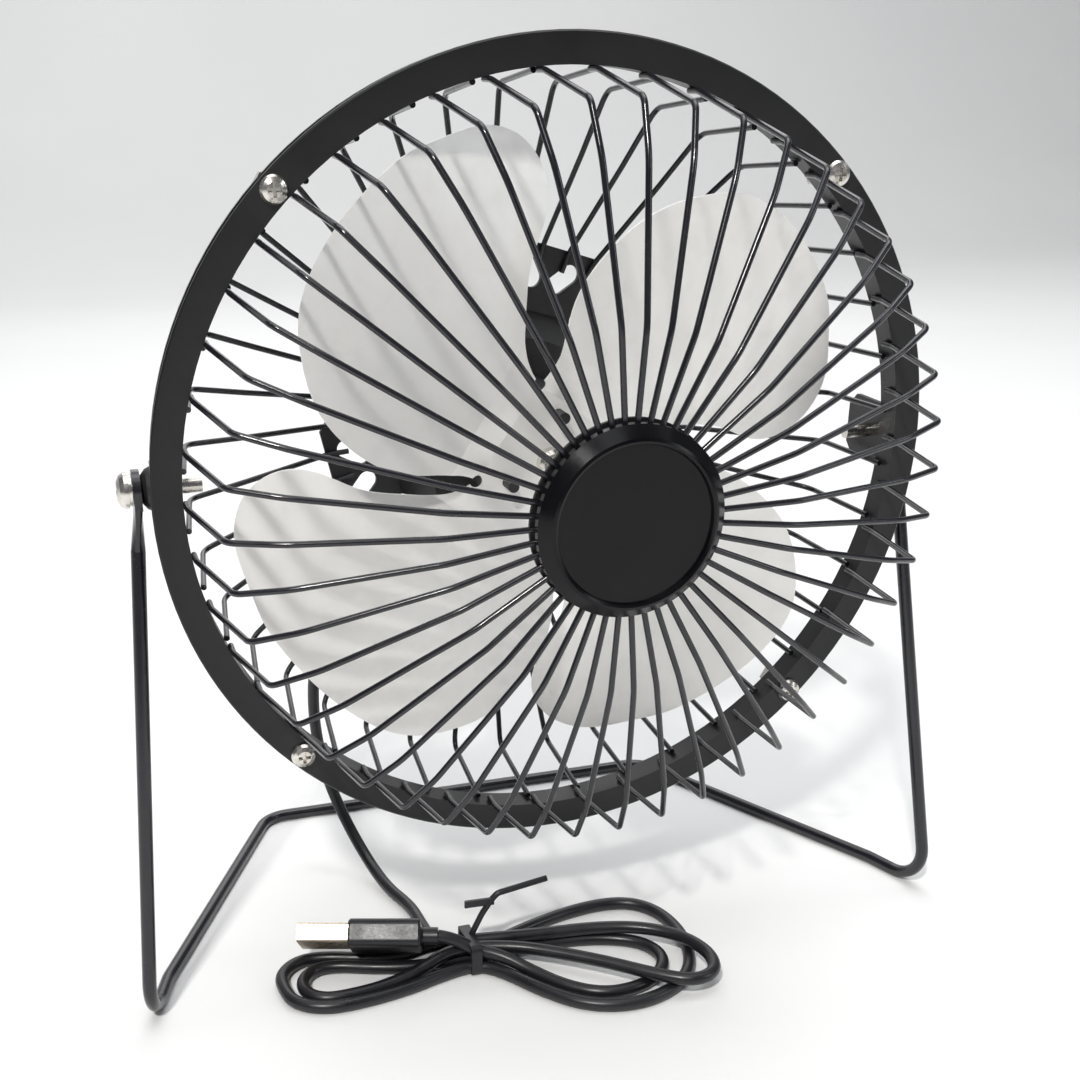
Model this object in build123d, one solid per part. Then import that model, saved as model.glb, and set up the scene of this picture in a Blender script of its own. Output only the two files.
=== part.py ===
from build123d import *
import math
import os

os.makedirs("parts", exist_ok=True)

# ---------------------------------------------------------------- driving dimensions (mm)
PIVOT_Z = 121.8          # height of the tilt axis above the table
PIVOT_Y = -10.243          # tilt axis, front to back, in the row frame
TILT = 2.4               # rest tilt of the head, front slightly down (degrees)
AXIS_BACK = 13.1         # tilt axis behind the front face of the front ring

RING_R = 90.0            # outer radius of the ring
RING_IN = 83.5           # inner radius of the ring
SHEET_T = 1.0            # ring sheet thickness
LIP = 3.2                # depth of each ring half
WIRE_R = 0.65            # guard wire radius
N_WIRE = 46              # wires in each guard
WIRE_PHASE = 8.48        # degrees, first wire
N_REAR = 40              # wires in the rear guard
REAR_PHASE = 5.0         # degrees, first rear wire
SCREW_PCR = 86.8         # ring screws, radius of their circle

CAP_R = 19.9             # front cap radius
CAP_Y = -37.6            # back of the front cap

BLADE_Y = 8.66           # plane of the blade hub, behind the ring face
BLADE_PHASE = 24.0       # reference direction of the first blade
BLADE_SLOPE = 0.304      # blade pitch, rise over run, at mid length
BLADE_TWIST = 0.0992     # how much the pitch grows over 50 mm of length
BLADE_T = 0.6

CAN_R = 13.9             # motor can
ROD_R = 1.6              # stand rod
CORD_R = 1.55            # lead radius

# ---------------------------------------------------------------- helpers
HEAD = (Location((0, PIVOT_Y, PIVOT_Z)) * Location((0, 0, 0), (TILT, 0, 0))
        * Location((0, -AXIS_BACK, 0)))


def solids_of(items):
    out = []
    for i in items if isinstance(items, (list, tuple)) else [items]:
        out.extend(i.solids())
    return out


def write(name, items, head=True):
    """Write one node: its solids, placed with the head or as they are."""
    shapes = solids_of(items)
    if head:
        shapes = [s.moved(HEAD) for s in shapes]
    body = shapes[0] if len(shapes) == 1 else Compound(children=shapes)
    export_step(body, f"parts/{name}.step")
    return shapes


def rev(pts):
    """Revolve a closed (radius, y) profile about the fan axis."""
    return revolve(make_face(Polyline(*[(p[0], p[1]) for p in pts], close=True)), Axis.Y, 360)


def rod_y(r, y0, y1, x=0.0, z=0.0):
    """Cylinder along the fan axis from y0 to y1."""
    return Location((x, (y0 + y1) / 2, z), (90, 0, 0)) * Cylinder(r, y1 - y0)


def rod_x(r, x0, x1, y=0.0, z=0.0):
    return Location(((x0 + x1) / 2, y, z), (0, 90, 0)) * Cylinder(r, x1 - x0)


def around(shape, deg):
    """Turn a shape about the fan axis; positive goes from +X towards +Z."""
    return shape.moved(Location((0, 0, 0), (0, -deg, 0)))


def block(x0, x1, y0, y1, z0, z1):
    return Location(((x0 + x1) / 2, (y0 + y1) / 2, (z0 + z1) / 2)) * Box(x1 - x0, y1 - y0, z1 - z0)


def hexnut(af, t, bore):
    return extrude(RegularPolygon(af / 2, 6, major_radius=False) - Circle(bore), t)


def tube(points, radii, r):
    """Round bar along straight runs joined by tangent arcs."""
    path = FilletPolyline(*points, radius=radii)
    d = path % 0
    start = path @ 0
    return sweep(Plane(origin=start, z_dir=d) * Circle(r), path=path)


def cross_recess(r, depth):
    """Phillips recess along +Z, top at z = 0."""
    a = Box(r * 2, r * 0.55, depth * 2)
    b = Box(r * 0.55, r * 2, depth * 2)
    return a + b


def pan_screw(head_r, head_h, shank_r, length):
    """Pan head screw, head on +Z side, seat at z = 0."""
    prof = make_face(Polyline((0, -length), (shank_r, -length), (shank_r, 0), (head_r, 0),
                              (head_r, head_h * 0.35), (head_r * 0.86, head_h * 0.72),
                              (head_r * 0.55, head_h * 0.95), (0, head_h), close=True))
    s = revolve(Plane.XZ * prof, Axis.Z, 360)
    return s - Location((0, 0, head_h)) * cross_recess(head_r * 0.5, head_h * 0.55)


# ---------------------------------------------------------------- ring halves
front_ring = rev([(RING_IN, 0), (RING_R - 0.35, 0), (RING_R, 0.35), (RING_R, SHEET_T),
                  (RING_IN + SHEET_T, SHEET_T), (RING_IN + SHEET_T, LIP), (RING_IN, LIP)])
rear_ring = rev([(RING_IN, 2 * LIP), (RING_R - 0.4, 2 * LIP), (RING_R - 0.4, 2 * LIP - SHEET_T),
                 (RING_IN + SHEET_T, 2 * LIP - SHEET_T), (RING_IN + SHEET_T, LIP), (RING_IN, LIP)])
screws, nuts, spacers = [], [], []
for a in (45, 135, 225, 315):
    x, z = SCREW_PCR * math.cos(math.radians(a)), SCREW_PCR * math.sin(math.radians(a))
    hole = rod_y(1.6, -1, 8, x, z)
    front_ring -= hole
    rear_ring -= hole
    screws.append(Location((x, 0, z), (90, 0, 0)) * pan_screw(2.85, 2.0, 1.48, 9.4))
    nuts.append(Location((x, 2 * LIP + 2.4, z), (90, 0, 0)) * hexnut(5.5, 2.4, 1.55))
    spacers.append(Location((x, 2 * LIP - SHEET_T, z), (90, 0, 0))
                   * extrude(Circle(2.3) - Circle(1.6), 2 * LIP - 2 * SHEET_T))
write("front_ring", front_ring)
write("rear_ring", rear_ring)
write("ring_screws", screws)
write("ring_nuts", nuts)
write("ring_spacers", spacers)

# ---------------------------------------------------------------- guards
wr = RING_IN - WIRE_R
front_pts = [(wr, 2.9, 0), (wr, -1.2, 0), (78.2, -25.4, 0), (68.0, -30.2, 0), (38.0, -36.85, 0), (17.6, -36.85, 0)]
front_wire = tube(front_pts, [10.0, 3.2, 20.0, 14.0], WIRE_R)
front_wires = [around(front_wire, WIRE_PHASE + k * 360 / N_WIRE) for k in range(N_WIRE)]
write("front_guard_wires", front_wires)

LEGS = (73, 193, 313)                          # motor bracket legs
LEG_W = 14.2                                   # half width of a leg
REAR_Y = 43.9                                  # rear wires' centre over the legs and towards the housing
rear_wires = []
for k in range(N_REAR):
    a = REAR_PHASE + k * 360 / N_REAR
    off = min(abs((a - c + 180) % 360 - 180) for c in LEGS)
    # a wire that meets a leg ends on it, and the others run in to the rear plate
    end = 17.4 if off > 26.5 else max(31.0, min(39.5, (LEG_W - 1.4) / math.sin(math.radians(max(off, 1.0)))))
    pts = [(wr, 3.5, 0), (80.2, 26.4, 0), (66.4, 32.6, 0), (44.5, REAR_Y, 0), (end, REAR_Y, 0)]
    rear_wires.append(around(tube(pts, [5.0, 20.0, 6.0], WIRE_R), a))
write("rear_guard_wires", rear_wires)

# ---------------------------------------------------------------- front cap and its backing plate
cap = rev([(0, -40.7), (16.2, -40.7), (16.5, -41.5), (17.0, -41.75), (17.6, -41.5), (18.2, -40.9),
           (19.2, -39.9), (CAP_R, -39.2), (CAP_R, CAP_Y), (CAP_R - 0.9, CAP_Y), (CAP_R - 0.9, -38.9),
           (16.2, -39.7), (0, -39.7)])
write("front_cap", cap)
# steel disc behind the wire ends and a clamp disc in front of them, riveted together
back_plate = rev([(0, -36.2), (19.0, -36.2), (20.4, -36.0), (20.4, -35.2), (0, -35.2)])
for a in (90, 210, 330):
    back_plate -= rod_y(1.22, -37, -35, 12.0 * math.cos(math.radians(a)), 12.0 * math.sin(math.radians(a)))
write("cap_back_plate", back_plate)
write("cap_clamp_disc", rev([(0, -38.6), (16.4, -38.6), (16.4, -37.5), (18.9, -37.5), (18.9, -38.55),
                             (16.9, -39.0), (0, -39.6)]))
write("cap_rivets", [rod_y(1.2, -37.6, -34.6, 12.0 * math.cos(math.radians(a)), 12.0 * math.sin(math.radians(a)))
                     for a in (90, 210, 330)])

# ---------------------------------------------------------------- tilt pivots
ear = (block(84.6, 85.7, 2 * LIP, 22.2, -7.6, 7.6) + block(84.6, 89.3, 2 * LIP, 2 * LIP + 1.1, -7.6, 7.6))
for s in (1, -1):
    cut = Location((85.2, 22.2, 7.6 * s), (45, 0, 0)) * Box(4, 4.0, 4.0)
    ear -= cut
ear -= rod_x(1.62, 80, 92, AXIS_BACK, 0)
write("pivot_ears", [ear, around(ear, 180)])

bush = revolve(make_face(Polyline((85.75, 1.7), (85.75, 5.2), (88.2, 5.2), (90.0, 4.3), (91.1, 2.9), (91.1, 1.7), close=True)),
               Axis.X, 360).moved(Location((0, AXIS_BACK, 0)))
pscrew = pan_screw(3.9, 2.5, 1.6, 15.6)
right = [Location((93.75, AXIS_BACK, 0), (0, 90, 0)) * pscrew]
left = [Location((-93.75, AXIS_BACK, 0), (0, -90, 0)) * pscrew]
write("pivot_bushes", [bush, bush.mirror(Plane.YZ)])
write("pivot_screws", right + left)
washer = Location((93.05, AXIS_BACK, 0), (0, 90, 0)) * extrude(Circle(3.4) - Circle(1.65), 0.65)
write("pivot_washers", [washer, washer.mirror(Plane.YZ)])

# ---------------------------------------------------------------- motor bracket: drawn cup, flange, three legs
bracket = rev([(3.9, 14.0), (15.1, 14.0), (15.1, 33.0), (23.6, 33.0), (23.6, 34.2), (14.05, 34.2), (14.05, 15.05), (3.9, 15.05)])
LEG_Y = REAR_Y + WIRE_R + 0.02
for a in LEGS:
    strip = extrude(make_face(Polyline((18.0, 33.0), (22.6, 33.0), (28.8, LEG_Y), (34.0, LEG_Y), (34.0, LEG_Y + 1.2),
                                       (28.0, LEG_Y + 1.2), (22.0, 34.2), (18.0, 34.2), close=True)), 9.3, both=True)
    strip += block(29.6, 44.6, LEG_Y, LEG_Y + 1.2, -LEG_W, LEG_W)
    strip -= rod_y(15.5, 30, 50)
    for t in (1, -1):
        strip -= Location((44.6, LEG_Y, LEG_W * t), (0, 45, 0)) * Box(3.6, 6, 3.6)
        slot = Location((37.9, LEG_Y + 0.6, 4.6 * t), (90, 0, 0)) * (Location((0, 0, 0), (0, 0, 40 * t)) * extrude(SlotOverall(8.6, 4.6), 3, both=True))
        strip -= slot
    bracket += around(strip, a)
for s in (1, -1):
    bracket -= rod_y(1.3, 13, 16, 0, 8.5 * s)
write("motor_bracket", bracket)
write("motor_screws", [Location((0, 14.0, 8.5 * s), (90, 0, 0)) * pan_screw(2.1, 1.3, 1.25, 3.2) for s in (1, -1)])

# ---------------------------------------------------------------- motor, fixed parts
can = rev([(2.55, 13.2), (3.6, 13.2), (3.6, 15.1), (CAN_R, 15.1), (CAN_R, 38.0), (CAN_R - 1.1, 38.0),
           (CAN_R - 1.1, 16.3), (2.55, 16.3)])
for s in (1, -1):
    can -= rod_y(1.27, 14, 18, 0, 8.5 * s)
write("motor_can", can)
end_cap = rev([(2.55, 38.0), (CAN_R, 38.0), (CAN_R, 39.4), (5.0, 39.4), (5.0, 40.8), (2.55, 40.8)])
for s in (1, -1):
    end_cap -= block(7.6 * s - 1.1, 7.6 * s + 1.1, 37, 42, -0.5, 0.5)
write("motor_end_cap", end_cap)
write("front_bush", rev([(1.05, 13.0), (2.5, 13.0), (2.5, 17.2), (1.05, 17.2)]))
write("rear_bush", rev([(1.05, 37.2), (2.5, 37.2), (2.5, 40.9), (1.05, 40.9)]))
mag = rev([(10.7, 18.0), (12.75, 18.0), (12.75, 33.0), (10.7, 33.0)])
keep = block(0, 14, 17, 34, -8.6, 8.6)
write("motor_magnets", [mag & keep, mag & block(-14, 0, 17, 34, -8.6, 8.6)])
brush = block(3.0, 8.7, 35.0, 36.6, -1.0, 1.0) + block(6.8, 8.4, 35.0, 37.95, -1.0, 1.0)
write("motor_brushes", [brush, around(brush, 180)])
write("motor_terminals", [block(7.6 * s - 1.0, 7.6 * s + 1.0, 37.97, 43.5, -0.4, 0.4) for s in (1, -1)])

# ---------------------------------------------------------------- turning parts
write("motor_shaft", rod_y(1.0, 4.8, 42.0))
core = rev([(1.0, 19.5), (9.9, 19.5), (9.9, 31.5), (1.0, 31.5)])
for a in (0, 120, 240):
    core -= around(block(4.4, 11, 19, 32, -1.0, 1.0) + block(4.4, 8.3, 19, 32, -2.6, 2.6), a + 60)
write("rotor_core", core)
write("rotor_windings", [rev([(3.3, 17.9), (8.2, 17.9), (8.2, 19.45), (3.3, 19.45)]),
                         rev([(3.3, 31.55), (8.2, 31.55), (8.2, 33.6), (3.3, 33.6)])])
write("commutator", rev([(1.0, 33.9), (2.8, 33.9), (2.8, 36.9), (1.0, 36.9)]))

# black hub behind the sheet, with three pegs through it
hub = rev([(1.0, BLADE_Y + BLADE_T / 2), (14.2, BLADE_Y + BLADE_T / 2), (14.2, 11.2), (4.2, 11.2), (3.6, 12.7), (1.0, 12.7)])
pegs = []
for a in (81.5, 201.5, 321.5):
    px, pz = 10.9 * math.cos(math.radians(a)), 10.9 * math.sin(math.radians(a))
    peg = rod_y(1.3, 4.1, 9.6, px, pz)
    hub += peg
    pegs.append((px, pz))
write("blade_hub", hub)
write("hub_collet", rev([(1.0, 5.2), (2.6, 5.2), (3.4, 6.0), (3.4, BLADE_Y - BLADE_T / 2), (1.0, BLADE_Y - BLADE_T / 2)]))

# one stamped sheet: a flat square middle, folds along its four sides, and four twisted blades
# blade plan in (u along its reference direction, s across it, leading side positive)
outline = [(4.6, 17.3), (10.7, 23.3), (16.6, 32.4), (27.8, 40.3), (38.2, 43.0), (49.4, 41.6), (58.4, 37.6), (65.2, 30.2),
           (70.8, 18.8), (73.4, 9.6), (74.4, 1.0), (73.6, -5.6), (71.2, -16.8), (65.2, -23.6), (58.0, -25.5),
           (50.6, -23.4), (41.5, -14.2), (32.6, -8.4), (24.8, -4.6), (17.4, -4.6)]
FOLD = 12.7                                    # middle of the sheet to each fold
FOLD_A = 31.1                                  # fold normal, from the blade's reference direction
ROOT = 20.5                                    # where the fold has turned into the pitched blade
ca, sa = math.cos(math.radians(FOLD_A)), math.sin(math.radians(FOLD_A))


def blade_y(u, v):
    """Height of the pitched, twisted blade."""
    return BLADE_Y - (BLADE_SLOPE + BLADE_TWIST * (u - 50) / 50) * v


def nt(n, t):
    return n * ca - t * sa, n * sa + t * ca


def on_blade(u, v, y=None):
    return Vector(u, blade_y(u, v) if y is None else y, v)


plan = make_face(Wire([*Spline(*[(u, 0, v) for u, v in outline]).edges(),
                       *Polyline((outline[-1][0], 0, outline[-1][1]), (*[0, 0, 0],), (outline[0][0], 0, outline[0][1])).edges()]))
prism = extrude(plan, 60, dir=(0, 1, 0), both=True)

wing = Face.make_surface_from_curves(Edge.make_line(on_blade(0, -60), on_blade(0, 70)),
                                     Edge.make_line(on_blade(90, -60), on_blade(90, 70)))
wing = extrude(wing, BLADE_T / 2, dir=(0, 1, 0), both=True)
t0, t1 = -26.0, 30.0
p = [nt(ROOT, t) for t in (t0, t1)]
ends = [on_blade(*q) for q in p]
mid = on_blade(*nt(ROOT, (t0 + t1) / 2))
ctrl = mid * 2 - (ends[0] + ends[1]) * 0.5
fold_line = Edge.make_line(on_blade(*nt(FOLD, t0), BLADE_Y), on_blade(*nt(FOLD, t1), BLADE_Y))
turn = Face.make_surface_from_curves(fold_line, Edge.make_bezier(ends[0], ctrl, ends[1]))
turn = extrude(turn, BLADE_T / 2, dir=(0, 1, 0), both=True)


def beyond(n0, n1):
    """Slab between two distances from the axis, across the fold."""
    b = Box(n1 - n0, 80, 200)
    return b.moved(Location(((n0 + n1) / 2, 0, 0))).moved(Location((0, 0, 0), (0, -FOLD_A, 0)))


one = (wing & prism & beyond(ROOT, 120)) + (turn & prism)
sheet = around(block(-FOLD, FOLD, BLADE_Y - BLADE_T / 2, BLADE_Y + BLADE_T / 2, -FOLD, FOLD), BLADE_PHASE + FOLD_A)
for k in range(4):
    sheet += around(one, BLADE_PHASE + 90 * k)
for k in range(4):
    a = math.radians(BLADE_PHASE + FOLD_A + 45 + 90 * k)
    sheet -= rod_y(1.5, -10, 30, FOLD * math.sqrt(2) * math.cos(a), FOLD * math.sqrt(2) * math.sin(a))
sheet -= rod_y(1.03, 0, 20)
for px, pz in pegs:
    sheet -= rod_y(1.34, 0, 20, px, pz)
write("fan_blades", sheet)

# ---------------------------------------------------------------- rear cover and switch
BACK = LEG_Y + 0.0                             # front of the rear plate
rear_plate = rev([(15.2, BACK), (27.2, BACK), (27.2, BACK + 1.0), (15.2, BACK + 1.0)])
for a in (90, 210, 330):
    rear_plate -= rod_y(1.3, 41, 48, 24.9 * math.cos(math.radians(a)), 24.9 * math.sin(math.radians(a)))
write("rear_plate", rear_plate)
# the housing is drawn with its plate's back at y 42.6 and then set on the plate
SET = Location((0, BACK + 1.0 - 42.6, 0))
cover = rev([(27.2, 42.6), (27.2, 44.4), (22.6, 44.4), (22.6, 56.0), (21.4, 58.9), (18.6, 60.0), (0, 60.0),
             (0, 58.2), (18.0, 58.2), (20.0, 57.2), (20.8, 55.6), (20.8, 42.6)])
cover -= block(-6.75, 6.75, 57, 61, -4.45, 4.45)
exit_a = 225.0
gy = 51.0
gdir = (math.cos(math.radians(exit_a)), 0, math.sin(math.radians(exit_a)))
bore = Plane(origin=(gdir[0] * 14, gy, gdir[2] * 14), z_dir=gdir) * extrude(Circle(2.75), 14)
cover -= bore
cs = []
for a in (90, 210, 330):
    hx, hz = 24.9 * math.cos(math.radians(a)), 24.9 * math.sin(math.radians(a))
    cover -= rod_y(1.3, 42, 45, hx, hz)
    cs.append(Location((hx, 44.4, hz), (-90, 0, 0)) * pan_screw(2.1, 1.3, 1.25, 2.7))
write("motor_cover", cover.moved(SET))
write("cover_screws", [c.moved(SET) for c in cs])
body = block(-6.6, 6.6, 49.0, 60.0, -4.3, 4.3) + block(-7.9, 7.9, 60.0, 61.3, -5.6, 5.6)
body -= block(-5.6, 5.6, 54.5, 62.0, -3.9, 3.9)
write("switch_body", body.moved(SET))
write("switch_terminals", [block(x - 1.0, x + 1.0, 45.6, 48.98, -0.4, 0.4).moved(SET) for x in (-3.5, 3.5)])
# rocker: shallow V seen from the side, turned to its off position
rk = extrude(Plane.YZ * make_face(Polyline((58.0, -3.1), (61.2, -3.4), (60.5, 0), (61.2, 3.4), (58.0, 3.1), (56.4, 0), close=True)), 5.3, both=True)
ROCK = 8.0
rocker = rk.moved(Location((0, 59.2, 0), (0, 0, 0)) * Location((0, 0, 0), (ROCK, 0, 0)) * Location((0, -59.2, 0)))
write("switch_rocker", rocker.moved(SET))

leads = []
for s in (1, -1):
    leads.append(tube([(7.6 * s, 43.0, 1.0), (7.6 * s, 48.6, 1.0), (10.8 * s, 51.4, 3.0), (11.2 * s, 53.6, 7.0)], [1.4, 1.8], 0.5))
write("motor_leads", leads)

# strain relief through the cover wall
gro = Plane(origin=(gdir[0] * 19.0, gy, gdir[2] * 19.0), z_dir=gdir)
prof = make_face(Polyline((CORD_R + 0.02, 0), (3.4, 0), (3.4, 1.4), (2.7, 1.6), (2.7, 3.9), (3.4, 4.1), (3.4, 5.4), (2.2, 13.5), (CORD_R + 0.02, 13.5), close=True))
relief = (gro * revolve(Plane.XZ * prof, Axis.Z, 360)).moved(SET)
write("cord_strain_relief", relief)

# ---------------------------------------------------------------- stand: one bent rod
EYE_X = 92.05
zr = ROD_R
A = (101.6, PIVOT_Y - 19.3, zr)
K = (95.9, PIVOT_Y - 1.4, zr)
B = (59.9, PIVOT_Y + 74.4, zr)
T = (93.0, PIVOT_Y - 2.1, PIVOT_Z - 13.0)
pts = [(-T[0], T[1], T[2]), (-A[0], A[1], A[2]), (-K[0], K[1], K[2]), (-B[0], B[1], B[2]),
       (B[0], B[1], B[2]), K, A, T]
rod = tube(pts, [9.0, 14.0, 9.0, 9.0, 14.0, 9.0], ROD_R)
# the rod's ends are pressed flat and drilled
up = (Vector(*T) - Vector(*A)).normalized()
for s in (1, -1):
    u = Vector(up.X * s, up.Y, up.Z)
    low = Plane(origin=(T[0] * s, T[1], T[2]), x_dir=(1, 0, 0), z_dir=u)
    high = Plane(origin=(EYE_X * s, PIVOT_Y - 0.2, PIVOT_Z - 3.6), x_dir=(1, 0, 0), z_dir=u)
    rod += loft([low * Circle(ROD_R), high * RectangleRounded(1.7, 8.2, 0.5)])
    eye = Location((EYE_X * s, PIVOT_Y, PIVOT_Z), (0, 90, 0)) * Cylinder(4.4, 1.7)
    rod += eye
    rod += Location((EYE_X * s, PIVOT_Y - 0.1, PIVOT_Z - 2.2)) * Box(1.7, 8.2, 3.2)
    rod -= Location((EYE_X * s, PIVOT_Y, PIVOT_Z), (0, 90, 0)) * Cylinder(1.67, 6)
write("stand_rod", rod, head=False)

# ---------------------------------------------------------------- lead: free stretch, tied hank, plug


def head_point(x, y, z):
    p = (HEAD * Location((x, y, z))).position
    return (p.X, p.Y, p.Z)


gy += SET.position.Y
e0 = head_point(gdir[0] * 32.5, gy, gdir[2] * 32.5)
e1 = head_point(gdir[0] * 44.0, gy + 0.4, gdir[2] * 44.0)
PY = PIVOT_Y
cord_pts = [e0, e1, (-40.5, PY + 43.2, 78.5), (-48.0, PY + 46.5, 61.0), (-48.8, PY + 48.8, 43.0), (-46.6, PY + 48.6, 27.0),
            (-42.6, PY + 44.6, 14.0), (-38.8, PY + 36.4, 5.6), (-35.8, PY + 24.0, 1.9), (-32.0, PY + 12.5, 1.75),
            (-28.2, PY + 3.0, 2.6), (-24.6, PY - 4.6, 3.6)]
vs = [Vector(*p) for p in cord_pts]
radii = []
for i in range(1, len(vs) - 1):
    a, b = vs[i] - vs[i - 1], vs[i + 1] - vs[i]
    turn = math.radians(a.get_angle(b))
    radii.append(0.45 * min(a.length, b.length) / math.tan(turn / 2))
print("cord radii", [round(r, 1) for r in radii], "runs", [round((vs[i + 1] - vs[i]).length, 1) for i in range(len(vs) - 1)])
path = FilletPolyline(*cord_pts, radius=radii)
cord = sweep(Plane(origin=path @ 0, z_dir=path % 0) * Circle(CORD_R), path=path)
print("cord length", round(path.length, 1), "volume ratio", round(cord.volume / (math.pi * CORD_R ** 2 * path.length), 4))
write("lead_cord", cord, head=False)

# hank: the outer shape of the folded and tied lead, three turns deep on one side, two on the other
PYH = PIVOT_Y
right_bow = [(-22.0, -10.6), (-17.0, -7.2), (-6.0, -3.6), (8.6, -0.4), (22.4, -0.6), (29.8, -8.0), (32.0, -22.0), (34.0, -31.0),
             (32.0, -39.0), (26.6, -44.4), (19.5, -47.6), (7.9, -48.8), (-3.6, -46.4), (-12.8, -37.4), (-18.6, -25.0), (-22.0, -20.4)]
left_bow = [(-26.0, -20.4), (-39.4, -23.6), (-51.6, -26.6), (-62.0, -26.4), (-69.6, -20.0), (-71.2, -8.8), (-67.6, -3.6), (-60.2, -5.0),
            (-48.8, -8.0), (-37.3, -9.6), (-26.0, -10.6), (0, 0)]
hank = extrude(make_face(Polyline(*[(x, y + PYH) for x, y in right_bow], close=True)), 6.4)
hank += extrude(make_face(Polyline(*[(x, y + PYH) for x, y in left_bow[:-1]], close=True)), 3.3)
hank += Location((-24.0, PYH - 15.5, 3.65)) * Box(6.0, 9.8, 5.5)   # waist, clear of the tie's band
write("lead_hank", hank, head=False)

PZ0 = 9.7                                      # plug axis above the table
p_tie = Vector(-32.2, PIVOT_Y - 15.9, PZ0)
pdir = Vector(-0.952, 0.306, 0).normalized()
side = Vector(pdir.Y, -pdir.X, 0)
ROLL = -42.0                                   # the plug lies rolled on its edge, narrow side up and forward


def plug_plane(d):
    up = Vector(0, 0, 1)
    x = (side * math.cos(math.radians(ROLL)) + up * math.sin(math.radians(ROLL)))
    return Plane(origin=p_tie + pdir * d, x_dir=x, z_dir=pdir)


# lengths along the plug, from the lead end: relief 4, grip 17.5, bare shell 12.2
relief_p = plug_plane(0) * (Pos(0, 0, 2.0) * Cylinder(2.1, 4.0))
write("plug_relief", relief_p, head=False)
grip = extrude(RectangleRounded(12.6, 6.8, 1.7), 17.3)
grip = chamfer(grip.faces().sort_by(Axis.Z)[0].edges() + grip.faces().sort_by(Axis.Z)[-1].edges(), 0.5)
write("plug_grip", plug_plane(4.0) * grip, head=False)
shell = extrude(RectangleRounded(12.0, 4.5, 0.5) - RectangleRounded(11.4, 3.9, 0.3), 12.2)
for sx in (-2.6, 2.6):
    shell -= Location((sx, 2.1, 6.8)) * Box(2.2, 1.2, 2.0)
    shell -= Location((sx, -2.1, 6.8)) * Box(2.2, 1.2, 2.0)
write("plug_shell", plug_plane(21.3) * shell, head=False)
tongue_p = Location((0, -0.98, 0)) * extrude(Rectangle(11.0, 1.76), 11.4)
write("plug_tongue", plug_plane(21.3) * tongue_p, head=False)
cont = [Location((x, 0.02, 6.0)) * Box(1.1 if abs(x) > 2 else 1.0, 0.2, 8.6) for x in (-3.5, -1.0, 1.0, 3.5)]
write("plug_contacts", [plug_plane(21.3) * c for c in cont], head=False)

# wire tie round the waist of the hank: its band, twisted stem and two ends
ring = Location((-24.0, PYH - 15.5, 4.05)) * extrude(Plane.YZ * (RectangleRounded(12.2, 7.9, 1.6) - Rectangle(9.9, 6.5)), 1.3, both=True)
ty = PYH - 14.6
stem = tube([(-23.6, ty, 7.2), (-20.6, ty, 13.0), (-18.3, ty, 16.3), (-16.6, ty, 18.0), (-3.9, ty, 19.9)], [8.0, 8.0, 2.2], 0.75)
tail = Location((-21.3, ty - 0.2, 16.3), (0, 2, 0)) * Box(7.4, 0.7, 1.8)
write("wire_tie", [ring + stem + tail], head=False)
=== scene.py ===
import math

import bmesh
import bpy
from mathutils import Matrix, Vector


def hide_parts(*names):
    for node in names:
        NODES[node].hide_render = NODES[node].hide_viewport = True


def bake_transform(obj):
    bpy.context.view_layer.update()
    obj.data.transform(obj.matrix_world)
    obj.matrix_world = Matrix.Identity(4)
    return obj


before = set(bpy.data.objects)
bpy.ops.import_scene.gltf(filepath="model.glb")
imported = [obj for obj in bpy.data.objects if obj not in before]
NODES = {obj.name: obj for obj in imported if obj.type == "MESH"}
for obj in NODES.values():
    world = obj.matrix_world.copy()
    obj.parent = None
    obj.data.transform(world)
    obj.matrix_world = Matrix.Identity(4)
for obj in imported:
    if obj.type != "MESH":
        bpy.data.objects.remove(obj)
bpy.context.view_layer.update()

SCENE = bpy.context.scene
MM = 0.001
PY, PZ = -10.243, 121.8           # tilt axis, front to back and height, mm

# ------------------------------------------------------------------ camera
right = Vector((0.9583, -0.2853, -0.0148)).normalized()
view_dir = Vector((0.26254, 0.90013, -0.34762)).normalized()
right = (right - view_dir * right.dot(view_dir)).normalized()
up = right.cross(view_dir).normalized()
cam_data = bpy.data.cameras.new("camera")
cam_data.sensor_width = 36.0
cam_data.sensor_fit = "HORIZONTAL"
cam_data.lens = 46.42
cam_data.shift_x = 0.0705
cam_data.shift_y = 0.0937
cam_data.clip_start = 0.01
cam_data.clip_end = 20.0
cam = bpy.data.objects.new("camera", cam_data)
SCENE.collection.objects.link(cam)
rot = Matrix((right, up, -view_dir)).transposed().to_4x4()
cam.matrix_world = Matrix.Translation((-0.10667, -0.29768 + PY * MM, 0.07191 + PZ * MM)) @ rot
SCENE.camera = cam


# ------------------------------------------------------------------ materials
def new_mat(name):
    m = bpy.data.materials.new(name)
    m.use_nodes = True
    nt = m.node_tree
    for n in list(nt.nodes):
        nt.nodes.remove(n)
    out = nt.nodes.new("ShaderNodeOutputMaterial")
    b = nt.nodes.new("ShaderNodeBsdfPrincipled")
    nt.links.new(b.outputs["BSDF"], out.inputs["Surface"])
    return m, nt, b


def noise(nt, scale, detail=4.0, rough=0.55, coords=None, stretch=None):
    tc = nt.nodes.new("ShaderNodeTexCoord")
    src = tc.outputs["Object"]
    if stretch:
        mp = nt.nodes.new("ShaderNodeMapping")
        mp.inputs["Scale"].default_value = stretch
        nt.links.new(src, mp.inputs["Vector"])
        src = mp.outputs["Vector"]
    n = nt.nodes.new("ShaderNodeTexNoise")
    n.inputs["Scale"].default_value = scale
    n.inputs["Detail"].default_value = detail
    n.inputs["Roughness"].default_value = rough
    nt.links.new(src, n.inputs["Vector"])
    return n.outputs["Fac"]


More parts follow.
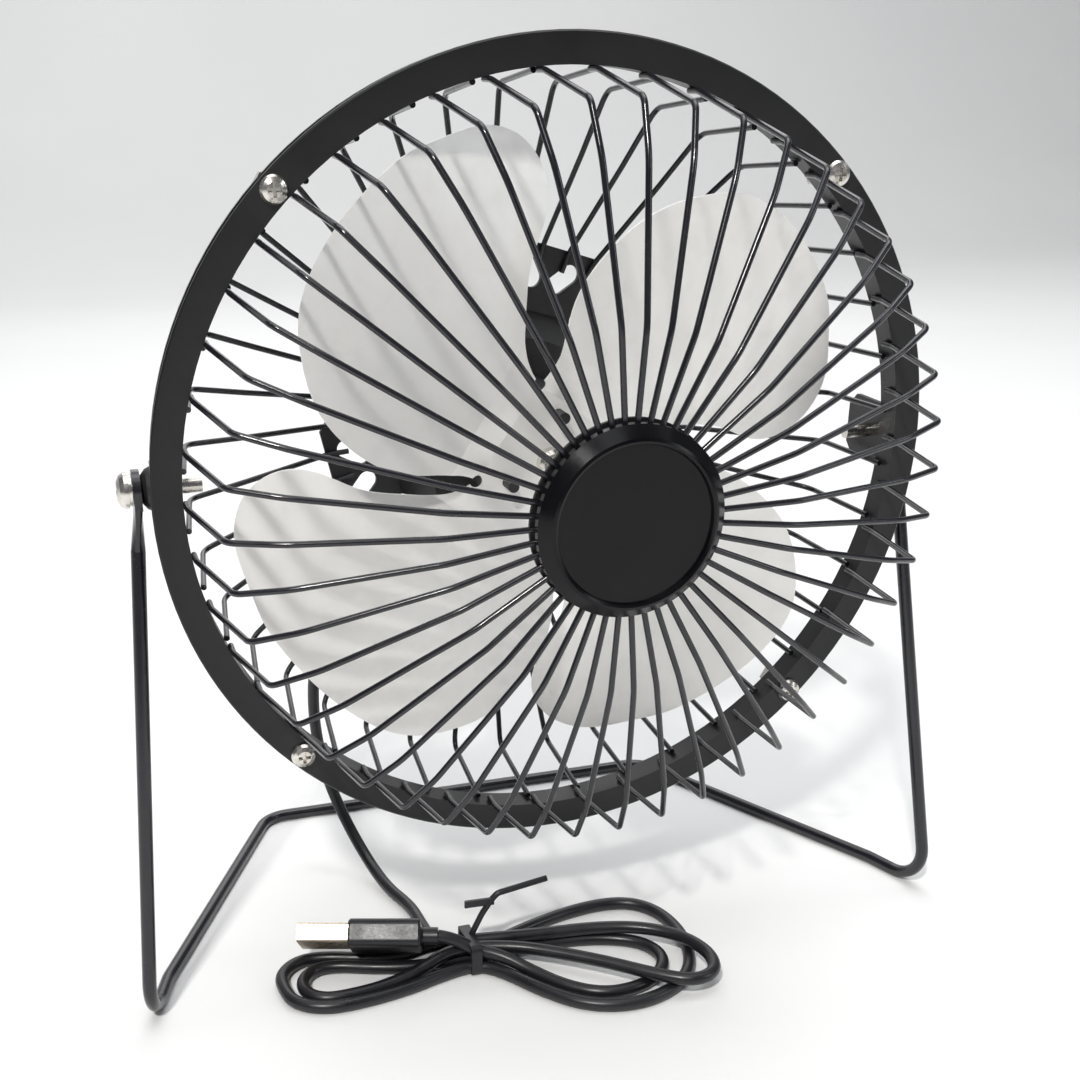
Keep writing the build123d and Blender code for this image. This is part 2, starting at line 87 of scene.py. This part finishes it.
def ramp(nt, fac, stops):
    r = nt.nodes.new("ShaderNodeValToRGB")
    e = r.color_ramp.elements
    e[0].position, e[0].color = stops[0][0], (*stops[0][1], 1)
    e[1].position, e[1].color = stops[-1][0], (*stops[-1][1], 1)
    for p, c in stops[1:-1]:
        x = e.new(p)
        x.color = (*c, 1)
    nt.links.new(fac, r.inputs["Fac"])
    return r.outputs["Color"]


def span(nt, fac, lo, hi, a=0.3, b=0.7):
    m = nt.nodes.new("ShaderNodeMapRange")
    m.inputs["From Min"].default_value = a
    m.inputs["From Max"].default_value = b
    m.inputs["To Min"].default_value = lo
    m.inputs["To Max"].default_value = hi
    nt.links.new(fac, m.inputs["Value"])
    return m.outputs["Result"]


def bump(nt, b, height, strength, distance):
    n = nt.nodes.new("ShaderNodeBump")
    n.inputs["Strength"].default_value = strength
    n.inputs["Distance"].default_value = distance
    nt.links.new(height, n.inputs["Height"])
    nt.links.new(n.outputs["Normal"], b.inputs["Normal"])
    return n


def edge_wear(nt, lo, hi, radius_pointiness=(0.53, 0.6)):
    g = nt.nodes.new("ShaderNodeNewGeometry")
    return span(nt, g.outputs["Pointiness"], lo, hi, *radius_pointiness)


def finish_mat(name, dark, light, rough, metallic=0.0, blotch=60.0, grain=900.0, bump_strength=0.08, bump_dist=0.00008,
               coat=0.0, coat_rough=0.1, spec=0.5, wear=None, stretch=None):
    m, nt, b = new_mat(name)
    big = noise(nt, blotch, 3.0)
    small = noise(nt, grain, 5.0, 0.6, stretch=stretch)
    col = ramp(nt, big, [(0.3, dark), (0.7, light)])
    if wear:
        mix = nt.nodes.new("ShaderNodeMix")
        mix.data_type = "RGBA"
        nt.links.new(edge_wear(nt, 0.0, 0.55), mix.inputs["Factor"])
        nt.links.new(col, mix.inputs[6])
        mix.inputs[7].default_value = (*wear, 1)
        col = mix.outputs[2]
    nt.links.new(col, b.inputs["Base Color"])
    b.inputs["Metallic"].default_value = metallic
    b.inputs["Specular IOR Level"].default_value = spec
    b.inputs["Coat Weight"].default_value = coat
    b.inputs["Coat Roughness"].default_value = coat_rough
    # roughness: broad smudges times fine grain
    add = nt.nodes.new("ShaderNodeMath")
    add.operation = "ADD"
    nt.links.new(span(nt, big, rough[0] - rough[2], rough[1] - rough[2]), add.inputs[0])
    nt.links.new(span(nt, small, 0.0, 2 * rough[2]), add.inputs[1])
    nt.links.new(add.outputs[0], b.inputs["Roughness"])
    bump(nt, b, small, bump_strength, bump_dist)
    return m


M = {}
M["wire_enamel"] = finish_mat("wire_enamel", (0.006, 0.006, 0.009), (0.011, 0.011, 0.015), (0.18, 0.28, 0.03), coat=0.25,
                              coat_rough=0.12, bump_strength=0.10, grain=700.0)
M["ring_enamel"] = finish_mat("ring_enamel", (0.005, 0.005, 0.006), (0.009, 0.009, 0.010), (0.30, 0.42, 0.04), blotch=35.0,
                              grain=1400.0, bump_strength=0.16, wear=(0.03, 0.03, 0.03), spec=0.30)
M["bracket_enamel"] = finish_mat("bracket_enamel", (0.007, 0.007, 0.008), (0.014, 0.014, 0.015), (0.40, 0.52, 0.05), blotch=70.0,
                                 grain=1400.0, bump_strength=0.16)
M["cap_enamel"] = finish_mat("cap_enamel", (0.002, 0.002, 0.003), (0.004, 0.004, 0.005), (0.16, 0.24, 0.02), blotch=80.0,
                             grain=1600.0, bump_strength=0.04, spec=0.22)
M["plastic_black"] = finish_mat("plastic_black", (0.010, 0.010, 0.011), (0.017, 0.017, 0.018), (0.44, 0.56, 0.05), blotch=90.0,
                                grain=2600.0, bump_strength=0.22, bump_dist=0.00005)
M["plastic_gloss"] = finish_mat("plastic_gloss", (0.014, 0.014, 0.015), (0.020, 0.020, 0.021), (0.16, 0.26, 0.02), blotch=90.0,
                                grain=2200.0, bump_strength=0.05)
M["pvc_black"] = finish_mat("pvc_black", (0.008, 0.008, 0.010), (0.015, 0.015, 0.018), (0.28, 0.42, 0.04), blotch=120.0,
                            grain=1800.0, bump_strength=0.14, bump_dist=0.00005)
M["nickel"] = finish_mat("nickel", (0.60, 0.57, 0.52), (0.74, 0.71, 0.66), (0.18, 0.30, 0.04), metallic=1.0, blotch=260.0,
                         grain=2600.0, bump_strength=0.05, wear=(0.80, 0.78, 0.74))
M["shell_nickel"] = finish_mat("shell_nickel", (0.50, 0.41, 0.29), (0.62, 0.52, 0.38), (0.26, 0.36, 0.03), metallic=1.0, blotch=300.0,
                               grain=2600.0, bump_strength=0.05, wear=(0.72, 0.64, 0.52))
M["steel"] = finish_mat("steel", (0.46, 0.46, 0.45), (0.62, 0.62, 0.61), (0.26, 0.38, 0.05), metallic=1.0, blotch=120.0,
                        grain=1200.0, bump_strength=0.08, stretch=(1.0, 14.0, 1.0))
M["brass"] = finish_mat("brass", (0.60, 0.42, 0.16), (0.76, 0.58, 0.28), (0.22, 0.36, 0.04), metallic=1.0, blotch=200.0,
                        grain=1800.0, bump_strength=0.06)
M["gold"] = finish_mat("gold", (0.78, 0.56, 0.24), (0.90, 0.70, 0.36), (0.16, 0.28, 0.03), metallic=1.0, blotch=300.0,
                       grain=2400.0, bump_strength=0.05)
M["copper"] = finish_mat("copper", (0.42, 0.16, 0.06), (0.66, 0.30, 0.12), (0.24, 0.40, 0.05), metallic=1.0, blotch=300.0,
                         grain=2400.0, bump_strength=0.4, stretch=(1.0, 1.0, 1.0))
M["ferrite"] = finish_mat("ferrite", (0.05, 0.047, 0.047), (0.085, 0.08, 0.08), (0.55, 0.7, 0.06), metallic=0.3, blotch=120.0,
                          grain=1800.0, bump_strength=0.3)
M["plastic_white"] = finish_mat("plastic_white", (0.74, 0.74, 0.72), (0.84, 0.84, 0.82), (0.38, 0.5, 0.04), blotch=200.0,
                                grain=2200.0, bump_strength=0.12)


def blade_material():
    """Pearl-painted aluminium: satin, near white, faint rolling marks and light smudges."""
    m, nt, b = new_mat("blade_silver")
    big = noise(nt, 22.0, 3.0)
    mid = noise(nt, 160.0, 4.0)
    fine = noise(nt, 3200.0, 3.0, 0.6)
    col = ramp(nt, big, [(0.28, (0.84, 0.83, 0.805)), (0.5, (0.90, 0.89, 0.865)), (0.72, (0.93, 0.925, 0.905))])
    mix = nt.nodes.new("ShaderNodeMix")
    mix.data_type = "RGBA"
    nt.links.new(span(nt, mid, 0.0, 0.22, 0.5, 0.75), mix.inputs["Factor"])
    nt.links.new(col, mix.inputs[6])
    mix.inputs[7].default_value = (0.70, 0.69, 0.66, 1)
    nt.links.new(mix.outputs[2], b.inputs["Base Color"])
    b.inputs["Metallic"].default_value = 0.45
    b.inputs["Coat Weight"].default_value = 0.12
    b.inputs["Coat Roughness"].default_value = 0.35
    add = nt.nodes.new("ShaderNodeMath")
    add.operation = "ADD"
    nt.links.new(span(nt, mid, 0.30, 0.40), add.inputs[0])
    nt.links.new(span(nt, fine, 0.0, 0.12), add.inputs[1])
    nt.links.new(add.outputs[0], b.inputs["Roughness"])
    # faint dents and rolling waves, with the paint's grain on top
    waves = nt.nodes.new("ShaderNodeMath")
    waves.operation = "MULTIPLY_ADD"
    nt.links.new(noise(nt, 42.0, 2.0, stretch=(1.0, 1.0, 0.35)), waves.inputs[0])
    waves.inputs[1].default_value = 1.0
    nt.links.new(span(nt, fine, 0.0, 0.03), waves.inputs[2])
    bump(nt, b, waves.outputs[0], 0.35, 0.0011)
    return m


M["blade"] = blade_material()

USE = {
    "front_ring": "ring_enamel", "rear_ring": "ring_enamel", "pivot_ears": "ring_enamel",
    "front_guard_wires": "wire_enamel", "rear_guard_wires": "wire_enamel", "stand_rod": "wire_enamel",
    "front_cap": "cap_enamel", "cap_back_plate": "bracket_enamel", "cap_clamp_disc": "bracket_enamel",
    "motor_bracket": "bracket_enamel", "rear_plate": "bracket_enamel",
    "ring_screws": "nickel", "ring_nuts": "nickel", "ring_spacers": "nickel", "cap_rivets": "nickel", "pivot_screws": "nickel",
    "pivot_washers": "nickel", "motor_screws": "nickel", "cover_screws": "nickel", "hub_collet": "nickel", "plug_shell": "shell_nickel",
    "motor_can": "steel", "motor_shaft": "steel", "rotor_core": "ferrite", "motor_magnets": "ferrite", "motor_brushes": "ferrite",
    "front_bush": "brass", "rear_bush": "brass", "motor_terminals": "brass", "switch_terminals": "brass",
    "rotor_windings": "copper", "commutator": "copper", "plug_contacts": "gold",
    "pivot_bushes": "plastic_black", "motor_end_cap": "plastic_black", "motor_cover": "plastic_black", "switch_body": "plastic_black",
    "blade_hub": "plastic_black", "switch_rocker": "plastic_gloss", "motor_leads": "pvc_black", "cord_strain_relief": "pvc_black",
    "lead_cord": "pvc_black", "lead_hank": "pvc_black", "plug_relief": "pvc_black", "plug_grip": "pvc_black", "wire_tie": "pvc_black",
    "plug_tongue": "plastic_white", "fan_blades": "blade",
}
for name, o in NODES.items():
    o.data.materials.clear()
    o.data.materials.append(M[USE[name]])


def smooth(obj, angle=30.0):
    """Shade smooth, with edges sharper than the angle kept crisp."""
    me = obj.data
    me.polygons.foreach_set("use_smooth", [True] * len(me.polygons))
    bm = bmesh.new()
    bm.from_mesh(me)
    lim = math.radians(angle)
    for e in bm.edges:
        e.smooth = not (len(e.link_faces) == 2 and e.calc_face_angle(0.0) > lim)
    bm.to_mesh(me)
    bm.free()


# ------------------------------------------------------------------ lead: one spline from the housing to the plug
def head_point(x, y, z):
    """A point given in the head's own frame (ring face at y 0), in mm, placed as it stands at rest."""
    t = math.radians(2.4)
    y -= 13.1
    return (x, PY + y * math.cos(t) - z * math.sin(t), PZ + y * math.sin(t) + z * math.cos(t))


g = math.sqrt(0.5)
e0 = head_point(-g * 32.5, 53.97, -g * 32.5)
e1 = head_point(-g * 44.0, 54.37, -g * 44.0)
route = [e0, e1, (-40.5, PY + 43.2, 78.5), (-48.0, PY + 46.5, 61.0), (-48.8, PY + 48.8, 43.0), (-46.6, PY + 48.6, 27.0),
         (-42.6, PY + 44.6, 14.0), (-38.8, PY + 36.4, 5.6), (-35.8, PY + 24.0, 1.9), (-32.0, PY + 12.5, 1.75)]
# the hank: out to the right bow, back through the tie, out to the left, three times over
turns = [
    (-31.6, 4.0, 1.8), (-31.2, -3.5, 1.8), (-28.6, -9.6, 1.65), (-24.0, -12.35, 1.65),
    # right bow 1
    (-17.0, -11.0, 1.65), (-6.0, -6.4, 1.65), (8.6, -2.2, 1.65), (21.6, -2.2, 1.65), (28.6, -9.0, 1.65), (30.2, -21.5, 1.65),
    (26.6, -34.6, 1.65), (19.0, -42.4, 1.65), (7.6, -45.8, 1.65), (-3.8, -42.6, 1.65), (-12.0, -33.4, 1.65), (-18.2, -23.2, 1.65),
    (-24.0, -18.65, 1.65),
    # left bow 1
    (-32.0, -20.2, 1.65), (-42.0, -23.4, 1.65), (-53.0, -25.2, 1.65), (-62.2, -25.2, 1.65), (-68.6, -21.0, 1.65), (-70.0, -15.0, 1.65),
    (-70.0, -8.9, 1.65), (-65.3, -4.1, 1.65), (-58.7, -3.9, 1.65), (-48.4, -8.0, 1.65), (-39.0, -10.6, 2.2), (-33.6, -11.8, 4.6), (-24.0, -12.35, 4.8),
    # right bow 2, across the first
    (-16.5, -13.6, 4.8), (-5.0, -15.4, 4.8), (8.0, -16.6, 4.8), (19.4, -20.0, 4.8), (27.4, -27.0, 4.9), (30.6, -36.0, 4.9),
    (28.6, -43.4, 4.8), (22.0, -45.6, 4.9), (14.6, -40.6, 4.9), (5.8, -32.2, 4.8), (-3.8, -24.8, 4.8), (-13.0, -18.8, 4.8),
    (-24.0, -15.5, 4.8),
    # left bow 2, inside the first
    (-30.6, -15.9, 4.6), (-37.0, -17.8, 2.4), (-46.0, -20.6, 1.65), (-54.0, -21.8, 1.65), (-61.5, -21.8, 1.65), (-65.4, -17.9, 1.65),
    (-65.4, -12.5, 1.65), (-61.5, -8.7, 1.65), (-56.1, -8.8, 1.65), (-48.0, -12.2, 1.65), (-41.0, -14.4, 1.65), (-33.0, -15.4, 1.65), (-24.0, -15.5, 1.65),
    # right bow 3, smallest, under the second
    (-14.0, -15.3, 1.65), (-2.0, -15.0, 1.65), (9.6, -16.8, 1.65), (18.6, -21.4, 1.65), (21.6, -28.8, 1.65), (18.0, -35.6, 1.65),
    (10.6, -39.6, 1.65), (1.8, -39.6, 1.65), (-5.6, -34.2, 1.65), (-11.6, -26.6, 2.2), (-17.2, -21.2, 4.4), (-24.0, -18.1, 5.7),
    (-28.7, -17.0, 9.1),
]
route += [(x, PY + y, z) for x, y, z in turns]
p_tie = Vector((-32.2, PY - 15.9, 9.7))
route.append(tuple(p_tie))

curve = bpy.data.curves.new("lead_line", "CURVE")
curve.dimensions = "3D"
sp = curve.splines.new("NURBS")
sp.points.add(len(route) - 1)
for q, p in zip(sp.points, route):
    q.co = (p[0] * MM, p[1] * MM, p[2] * MM, 1.0)
sp.order_u = 3
sp.use_endpoint_u = True
curve.resolution_u = 8
line = bpy.data.objects.new("lead_line", curve)
SCENE.collection.objects.link(line)
bpy.context.view_layer.update()
wire = bpy.data.meshes.new_from_object(line)
path = [v.co.copy() for v in wire.vertices]
bpy.data.objects.remove(line)


def tube_mesh(name, pts, radius, sides=20, closed_ends=True, section=None, up_hint=Vector((0, 0, 1))):
    """A tube of constant section along a row of points, with no twist."""
    me = bpy.data.meshes.new(name)
    bm = bmesh.new()
    n = len(pts)
    tang = []
    for i in range(n):
        a = pts[max(i - 1, 0)]
        b = pts[min(i + 1, n - 1)]
        tang.append((b - a).normalized())
    nrm = up_hint - tang[0] * up_hint.dot(tang[0])
    if nrm.length < 1e-4:
        nrm = Vector((1, 0, 0)) - tang[0] * tang[0].x
    nrm.normalize()
    shape = section or [(math.cos(2 * math.pi * k / sides), math.sin(2 * math.pi * k / sides)) for k in range(sides)]
    rings = []
    for i in range(n):
        if i:
            nrm = nrm - tang[i] * nrm.dot(tang[i])
            nrm.normalize()
        bi = tang[i].cross(nrm)
        r = radius(i / (n - 1)) if callable(radius) else radius
        rings.append([bm.verts.new(pts[i] + (nrm * s[1] + bi * s[0]) * r) for s in shape])
    for a, b in zip(rings[:-1], rings[1:]):
        for k in range(len(shape)):
            bm.faces.new((a[k], a[(k + 1) % len(shape)], b[(k + 1) % len(shape)], b[k]))
    if closed_ends:
        bm.faces.new(rings[0][::-1])
        bm.faces.new(rings[-1])
    bmesh.ops.recalc_face_normals(bm, faces=bm.faces)
    bm.to_mesh(me)
    bm.free()
    ob = bpy.data.objects.new(name, me)
    SCENE.collection.objects.link(ob)
    return ob


lead = tube_mesh("lead", path, 1.55 * MM)
lead.data.materials.append(M["pvc_black"])
smooth(lead, 50)
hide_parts("lead_cord", "lead_hank")
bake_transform(lead)

# ------------------------------------------------------------------ floor and light
floor_me = bpy.data.meshes.new("floor")
bm = bmesh.new()
# a flat floor that sweeps up into a wall behind the fan
profile = [(-3.0, 0.0), (0.0, 0.0), (1.5, 0.0)]
profile += [(1.5 + 0.9 * math.sin(t), 0.9 - 0.9 * math.cos(t)) for t in (math.pi / 2 * i / 24 for i in range(1, 25))]
profile += [(2.4, 3.0)]
rows = [[bm.verts.new((x, y, z)) for x in (-4.0, 0.0, 4.0)] for y, z in profile]
for lo, hi in zip(rows, rows[1:]):
    for i in range(2):
        bm.faces.new((lo[i], lo[i + 1], hi[i + 1], hi[i])).smooth = True
bm.to_mesh(floor_me)
bm.free()
floor = bpy.data.objects.new("floor", floor_me)
SCENE.collection.objects.link(floor)
fm, nt, b = new_mat("floor_paper")
fac = noise(nt, 3.0, 3.0)
nt.links.new(ramp(nt, fac, [(0.3, (0.86, 0.86, 0.86)), (0.7, (0.89, 0.89, 0.885))]), b.inputs["Base Color"])
b.inputs["Roughness"].default_value = 0.75
b.inputs["Specular IOR Level"].default_value = 0.2
floor_me.materials.append(fm)

SCENE.view_settings.view_transform = "Standard"
SCENE.view_settings.look = "None"
world = bpy.data.worlds.new("studio")
SCENE.world = world
world.use_nodes = True
bg = world.node_tree.nodes["Background"]
bg.inputs["Color"].default_value = (0.93, 0.95, 1.0, 1)
bg.inputs["Strength"].default_value = 0.17


def area(name, loc, target, size, power, color=(1, 1, 1), size_y=None):
    d = bpy.data.lights.new(name, "AREA")
    d.shape = "RECTANGLE"
    d.size = size
    d.size_y = size_y or size
    d.energy = power
    d.color = color
    o = bpy.data.objects.new(name, d)
    SCENE.collection.objects.link(o)
    o.location = loc
    o.rotation_euler = (Vector(target) - Vector(loc)).to_track_quat("-Z", "Y").to_euler()
    return o


area("key", (-0.50, -0.80, 1.00), (0, -0.02, 0.1), 0.09, 11.5, (1.0, 0.985, 0.96))
area("top", (0.1, -0.1, 1.3), (0, 0, 0.1), 1.2, 4.6, (0.97, 0.985, 1.0), size_y=0.7)
area("fill", (0.95, -0.7, 0.55), (0, 0, 0.1), 0.35, 1.6, (0.94, 0.97, 1.0))
area("back", (0.25, 1.0, 0.95), (0, 0.1, 0.06), 0.9, 3.0)
area("wall", (0.3, 0.7, 2.2), (0.5, 2.4, 0.6), 2.4, 34.0)

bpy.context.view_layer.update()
